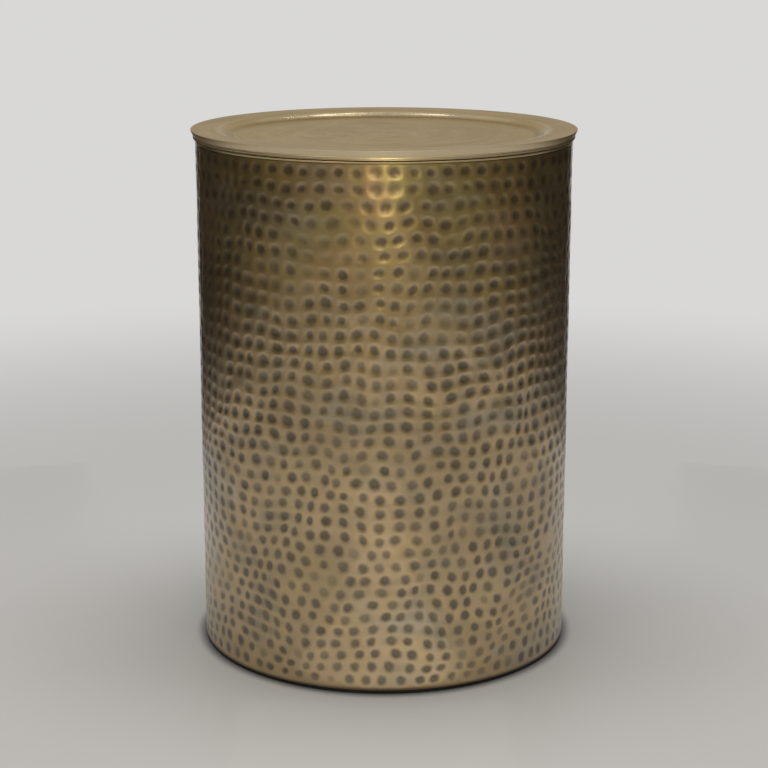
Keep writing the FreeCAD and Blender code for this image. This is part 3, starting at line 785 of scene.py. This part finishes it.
facing_up = add_node(tree, "SeparateXYZ", {0: add_node(tree, "NewGeometry").outputs["Normal"]})
# Mask for a painted reflection on the rim's side: 1 where the surface faces sideways or down.
painted_sheen_mask = ramp(tree, facing_up.outputs[2], 0.0, 0.6, 1.0, 0.0)
stray = use_group(tree, scuffs, Scale=30.0, Amount=0.2)["Mask"]

colour = blend(tree, zones, DEEP_BRASS, PALE_BRASS)
colour = cover(tree, colour, MOTTLED, mottle, 0.45)
colour = cover(tree, colour, RING_BROWN, ramp(tree, rings["Broad"], 0.35, 0.7, 0.0, 0.5))
# Brown band at the foot of the step: partly patina, partly painted shade in the recess.
colour = cover(tree, colour, COVE_PATINA_AND_SHADE, band(tree, from_axis, COVE_MIDDLE, 1.0, 5.0), 0.4)
colour = cover(tree, colour, CROWN_BROWN, band(tree, from_axis, CROWN_MIDDLE, 1.0, 5.0), 0.2)
# Painted reflection: the rim's side, facing sideways, is painted a lighter brass.
colour = cover(tree, colour, PAINTED_SIDE_SHEEN, painted_sheen_mask)
colour = cover(tree, colour, SCRATCHED, stray)
on_step = band(tree, from_axis, STEP_MIDDLE, 4.0, 8.0, STEP_SMOOTHER)
rough = calc(tree, "SUBTRACT", ramp(tree, rings["Broad"], 0.3, 0.7, 0.27, 0.36), on_step)
rough = calc(tree, "MULTIPLY_ADD", painted_sheen_mask, SIDE_ROUGHER, rough)
wire_up(tree, shader, colour, rough, rings["Height"], 0.16, 0.00012)
tray.data.materials.append(spun)

# %% [markdown]
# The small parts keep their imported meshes. Their slots get finishes of their own: black moulded
# plastic for the foot, felt for the gasket, black lacquer for the bars and hoops, dull zinc for
# the fasteners, and black oxide for the screws in the foot. Each goes between two colours and two
# roughnesses with dust, fuzz, rubbing or bloom, over a fine skin.

# %% Finishes of the small parts


def two_tone(tree, shader, mask, skin, first, second, rough, bump):
    """Colour and roughness go from the first to the second with the mask, and skin gives bumps."""
    colour = blend(tree, mask, first, second)
    wire_up(tree, shader, colour, ramp(tree, mask, 0.0, 1.0, *rough), skin, *bump)


plastic, tree, shader = new_finish("black moulded plastic", {"Specular IOR Level": 0.4})
skin = use_group(tree, grain, Scale=1600.0)["Height"]
dusty = use_group(tree, clouds, Scale=24.0, Low=0.45, High=0.8)["Mask"]
two_tone(tree, shader, dusty, skin, first=(0.012, 0.012, 0.012, 1),
         second=(0.028, 0.027, 0.026, 1), rough=(0.42, 0.62), bump=(0.3, 0.0002))

felt, tree, shader = new_finish("pressed felt", {
    "Sheen Weight": 0.4, "Sheen Roughness": 0.5, "Specular IOR Level": 0.2})
fuzz = use_group(tree, grain, Scale=2600.0)["Height"]
colour = blend(tree, fuzz, (0.010, 0.009, 0.008, 1), (0.05, 0.045, 0.04, 1))
wire_up(tree, shader, colour, ramp(tree, fuzz, 0.2, 0.8, 0.85, 1.0), fuzz, 0.8, 0.0006)

lacquer, tree, shader = new_finish("black lacquered steel", {
    "Specular IOR Level": 0.5, "Coat Weight": 0.3, "Coat Roughness": 0.25})
skin = use_group(tree, grain, Scale=420.0)["Height"]
worn = use_group(tree, scuffs, Scale=46.0, Amount=0.8)["Mask"]
two_tone(tree, shader, worn, skin, first=(0.020, 0.019, 0.018, 1),
         second=(0.16, 0.155, 0.15, 1), rough=(0.36, 0.5), bump=(0.25, 0.0003))

zinc, tree, shader = new_finish("zinc plate", {"Metallic": 1.0})
skin = use_group(tree, grain, Scale=1500.0)["Height"]
bloom = use_group(tree, clouds, Scale=180.0, Low=0.3, High=0.75)["Mask"]
two_tone(tree, shader, bloom, skin, first=(0.50, 0.50, 0.47, 1),
         second=(0.66, 0.67, 0.68, 1), rough=(0.42, 0.3), bump=(0.15, 0.0002))

oxide, tree, shader = new_finish("black oxide", {"Specular IOR Level": 0.6})
skin = use_group(tree, grain, Scale=1800.0)["Height"]
bloom = use_group(tree, clouds, Scale=220.0, Low=0.3, High=0.75)["Mask"]
two_tone(tree, shader, bloom, skin, first=(0.014, 0.014, 0.015, 1),
         second=(0.04, 0.038, 0.036, 1), rough=(0.35, 0.5), bump=(0.2, 0.0002))

# %% [markdown]
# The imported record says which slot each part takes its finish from, so one table of slots dresses
# every part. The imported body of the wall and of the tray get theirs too, though they stay hidden.

# %% Give every part its finish
FINISH_OF_SLOT = {"hammered_brass": hammered, "brushed_brass": spun, "black_plastic": plastic,
                  "felt": felt, "bar_steel": lacquer, "zinc_steel": zinc, "black_screws": oxide}
for subpart in frame["record"]["subparts"]:
    node = frame["nodes"][subpart["node"]]
    finish = FINISH_OF_SLOT[subpart["material_slot"]]
    if not node.material_slots:
        node.data.materials.append(finish)
    for slot in node.material_slots:
        slot.material = finish
    print(f"{node.name:18s} {finish.name}")

# %% [markdown]
# The studio is plain. The floor is pale grey near the table and melts into a pale backdrop farther
# out. Rays that only light the scene don't see that backdrop's glow: it is there for the eye and
# for what the metal mirrors, so the floor keeps the table's shadow. Close round the foot a darker
# ring is painted on the floor, a painted contact shadow where the drum shuts the light out.

# %% Floor
FLOOR_REACH = 14.0
FLOOR_COLOUR, PAINTED_FLOOR_SHADOW = (0.45, 0.442, 0.428, 1), (0.12, 0.117, 0.112, 1)
SHADE_START, SHADE_END = 0.176, 0.189
MELT_START, MELT_END = 0.55, 1.7
BACKDROP = (0.69, 0.685, 0.672, 1)


def seen_or_mirrored(tree):
    """1 for rays from the camera, from mirroring and through glass, and 0 for the others."""
    ray = add_node(tree, "LightPath").outputs
    shown = calc(tree, "MAXIMUM", ray["Is Camera Ray"], ray["Is Glossy Ray"])
    return calc(tree, "MAXIMUM", shown, ray["Is Transmission Ray"])


def add_sheet(name, points, faces, material):
    """A sheet of the studio, from points in metres, with its material."""
    mesh = bpy.data.meshes.new(name)
    mesh.from_pydata(points, [], faces)
    mesh.materials.append(material)
    sheet = bpy.data.objects.new(name, mesh)
    bpy.context.scene.collection.objects.link(sheet)
    return sheet


ground, tree, shader = new_finish("studio floor", {"Roughness": 0.5, "Specular IOR Level": 0.08})
far = add_node(tree, "VectorMath", {0: object_place(tree)}, operation="LENGTH").outputs[1]
# Painted contact shadow: the floor's colour darkens to the shade colour close round the foot.
beyond_painted_shadow = ramp(tree, far, SHADE_START, SHADE_END)
tree.links.new(blend(tree, beyond_painted_shadow, PAINTED_FLOOR_SHADOW, FLOOR_COLOUR), shader.inputs["Base Color"])
glow = add_node(tree, "Emission", {"Color": BACKDROP, "Strength": 1.0})
share = product(tree, ramp(tree, far, MELT_START, MELT_END), seen_or_mirrored(tree))
both = add_node(tree, "MixShader", {0: share, 1: shader.outputs[0], 2: glow.outputs[0]})
tree.links.new(both.outputs[0], tree.nodes["Material Output"].inputs["Surface"])
corners = [(-FLOOR_REACH, -FLOOR_REACH, 0), (FLOOR_REACH, -FLOOR_REACH, 0),
           (FLOOR_REACH, FLOOR_REACH, 0), (-FLOOR_REACH, FLOOR_REACH, 0)]
studio_floor = add_sheet("studio_floor", corners, [(0, 1, 2, 3)], ground)

# %% [markdown]
# Behind everything the world is the same pale backdrop, for the eye and for the metal. As a light
# it is an even grey, which fills the shadows softly.

# %% World
WORLD_FILL = (0.42, 0.42, 0.42, 1)
world = bpy.data.worlds.new("studio")
bpy.context.scene.world = world
world.use_nodes = True
tree = world.node_tree
backdrop = tree.nodes["Background"]
backdrop.inputs["Color"].default_value = BACKDROP
fill = add_node(tree, "Background", {"Color": WORLD_FILL, "Strength": 1.0})
both = add_node(tree, "MixShader", {0: seen_or_mirrored(tree), 1: fill.outputs[0],
                                    2: backdrop.outputs[0]})
tree.links.new(both.outputs[0], tree.nodes["World Output"].inputs["Surface"])
bpy.context.scene.view_settings.view_transform = "Standard"
print("world ready")

# %% [markdown]
# A small light in front gives the bright streak at the top of the wall, two soft ones fill the
# front, one overhead lights the floor, and three small ones behind put glints on the tray's step.
# Cameras don't see the lights, and metal doesn't mirror the overhead one, which would drown the
# tray.

# %% Lights
STREAK_LIGHT, WARM_LIGHT = (1.0, 0.885, 0.54), (1.0, 0.9, 0.75)


def add_light(name, azimuth, distance, height, aim_height, size, power, colour=(1, 1, 1)):
    """A rectangular light at an azimuth in degrees from the front, aimed at the axis.

    Distance from the axis, height, the height it is aimed at, and size (width, length) are in
    metres, and power is in watts.
    """
    lamp = bpy.data.lights.new(name, "AREA")
    lamp.shape = "RECTANGLE"
    lamp.size, lamp.size_y = size
    lamp.energy = power
    lamp.color = colour
    light = bpy.data.objects.new(name, lamp)
    turn = math.radians(azimuth)
    light.location = (distance * math.sin(turn), -distance * math.cos(turn), height)
    fall = math.atan2(height - aim_height, distance)
    light.rotation_euler = (math.pi / 2 - fall, 0.0, turn)
    light.visible_camera = False
    bpy.context.scene.collection.objects.link(light)
    return light


add_light("front_strip", 1.2, 0.75, 0.505, 0.505, (0.055, 0.1), 0.32, STREAK_LIGHT)
add_light("left_soft", -36, 1.6, 1.45, 0.4, (0.7, 0.6), 3, WARM_LIGHT)
add_light("right_soft", 30, 1.7, 1.5, 0.4, (0.5, 0.5), 2, WARM_LIGHT)
add_light("back_right_spot", 149, 1.14, 2.06, 0.5, (0.08, 0.08), 0.5)
add_light("back_left_spot", -160, 0.87, 2.12, 0.5, (0.25, 0.12), 0.3)
add_light("back_middle_spot", 166, 0.95, 2.1, 0.5, (0.35, 0.12), 0.5)
overhead = add_light("overhead_soft", 180, 0.06, 2.1, 0.4, (1.6, 0.8), 33)
overhead.rotation_euler = (0.0, 0.0, 0.0)
overhead.visible_glossy = False

# %% [markdown]
# Metal shows what stands round it. A dark curved screen goes round the table, with a gap at the
# back. It stands farther off in front than behind. The upper wall mirrors it, which gives the
# drum its round shape. The screen is painted light and shade for the metal to mirror: it glows
# dark at the sides, warmer in front and paler at its foot, and nothing but a mirroring surface
# sees it.

# %% Dark screen
SCREEN_STEPS = 72
SCREEN_END, SCREEN_HEIGHT = 146, 0.8
SCREEN_BACK, SCREEN_FRONT = 0.6, 1.65
SCREEN_DARK, SCREEN_WARM = (0.027, 0.021, 0.016, 1), (0.156, 0.127, 0.057, 1)
SCREEN_FOOT, FOOT_FADE = (0.31, 0.29, 0.255, 1), 20.0


def only_glow(tree, colour):
    """Makes a material glow in a colour, whatever light falls on it."""
    glow = add_node(tree, "Emission", {"Color": colour, "Strength": 1.0})
    tree.links.new(glow.outputs[0], tree.nodes["Material Output"].inputs["Surface"])


def only_mirrored(sheet):
    """Hides a sheet from everything but the mirroring of metal and gloss."""
    sheet.visible_camera = False
    sheet.visible_diffuse = False
    sheet.visible_shadow = False
    sheet.visible_transmission = False


screen_cloth, tree, _ = new_finish("glowing screen", {})
heading = add_node(tree, "VectorMath", {0: object_place(tree)}, operation="NORMALIZE").outputs[0]
forward = product(tree, add_node(tree, "SeparateXYZ", {0: heading}).outputs[1], -1.0)
rise = add_node(tree, "SeparateXYZ", {0: object_place(tree)}).outputs[2]
near_floor = calc(tree, "EXPONENT", product(tree, rise, -FOOT_FADE))
# Painted light and shade: the screen glows dark at the sides, warmer in front, paler at its foot.
screen_glow = blend(tree, ramp(tree, forward, -0.3, 0.95), SCREEN_DARK, SCREEN_WARM)
only_glow(tree, cover(tree, screen_glow, SCREEN_FOOT, near_floor))

azimuth = np.radians(np.linspace(-SCREEN_END, SCREEN_END, SCREEN_STEPS + 1))
away = SCREEN_BACK + (SCREEN_FRONT - SCREEN_BACK) * (1 + np.cos(azimuth)) / 2
foot = np.stack([away * np.sin(azimuth), -away * np.cos(azimuth), 0 * azimuth], axis=-1)
head = foot + np.array([0, 0, SCREEN_HEIGHT])
bay = np.arange(SCREEN_STEPS)
bays = np.stack([bay, bay + 1, bay + SCREEN_STEPS + 2, bay + SCREEN_STEPS + 1], axis=-1)
screen = add_sheet("dark_screen", np.concatenate([foot, head]).tolist(), bays.tolist(),
                   screen_cloth)
only_mirrored(screen)
print("screen bays", len(bays))

# %% [markdown]
# A pale card glows on the floor in front of the table, painted light for the lower wall to
# mirror, which brightens the wall's middle.

# %% Pale card
CARD_LEFT, CARD_RIGHT = -0.13, 0.11
CARD_FRONT, CARD_BACK, CARD_LEVEL = -1.0, -0.185, 0.003
CARD_GLOW = (0.66, 0.635, 0.595, 1)
card_paper, tree, _ = new_finish("glowing card", {})
# Painted light: the card glows in its own colour, whatever light falls on it.
only_glow(tree, CARD_GLOW)
corners = [(CARD_LEFT, CARD_FRONT, CARD_LEVEL), (CARD_RIGHT, CARD_FRONT, CARD_LEVEL),
           (CARD_RIGHT, CARD_BACK, CARD_LEVEL), (CARD_LEFT, CARD_BACK, CARD_LEVEL)]
card = add_sheet("glowing_card", corners, [(0, 1, 2, 3)], card_paper)
only_mirrored(card)
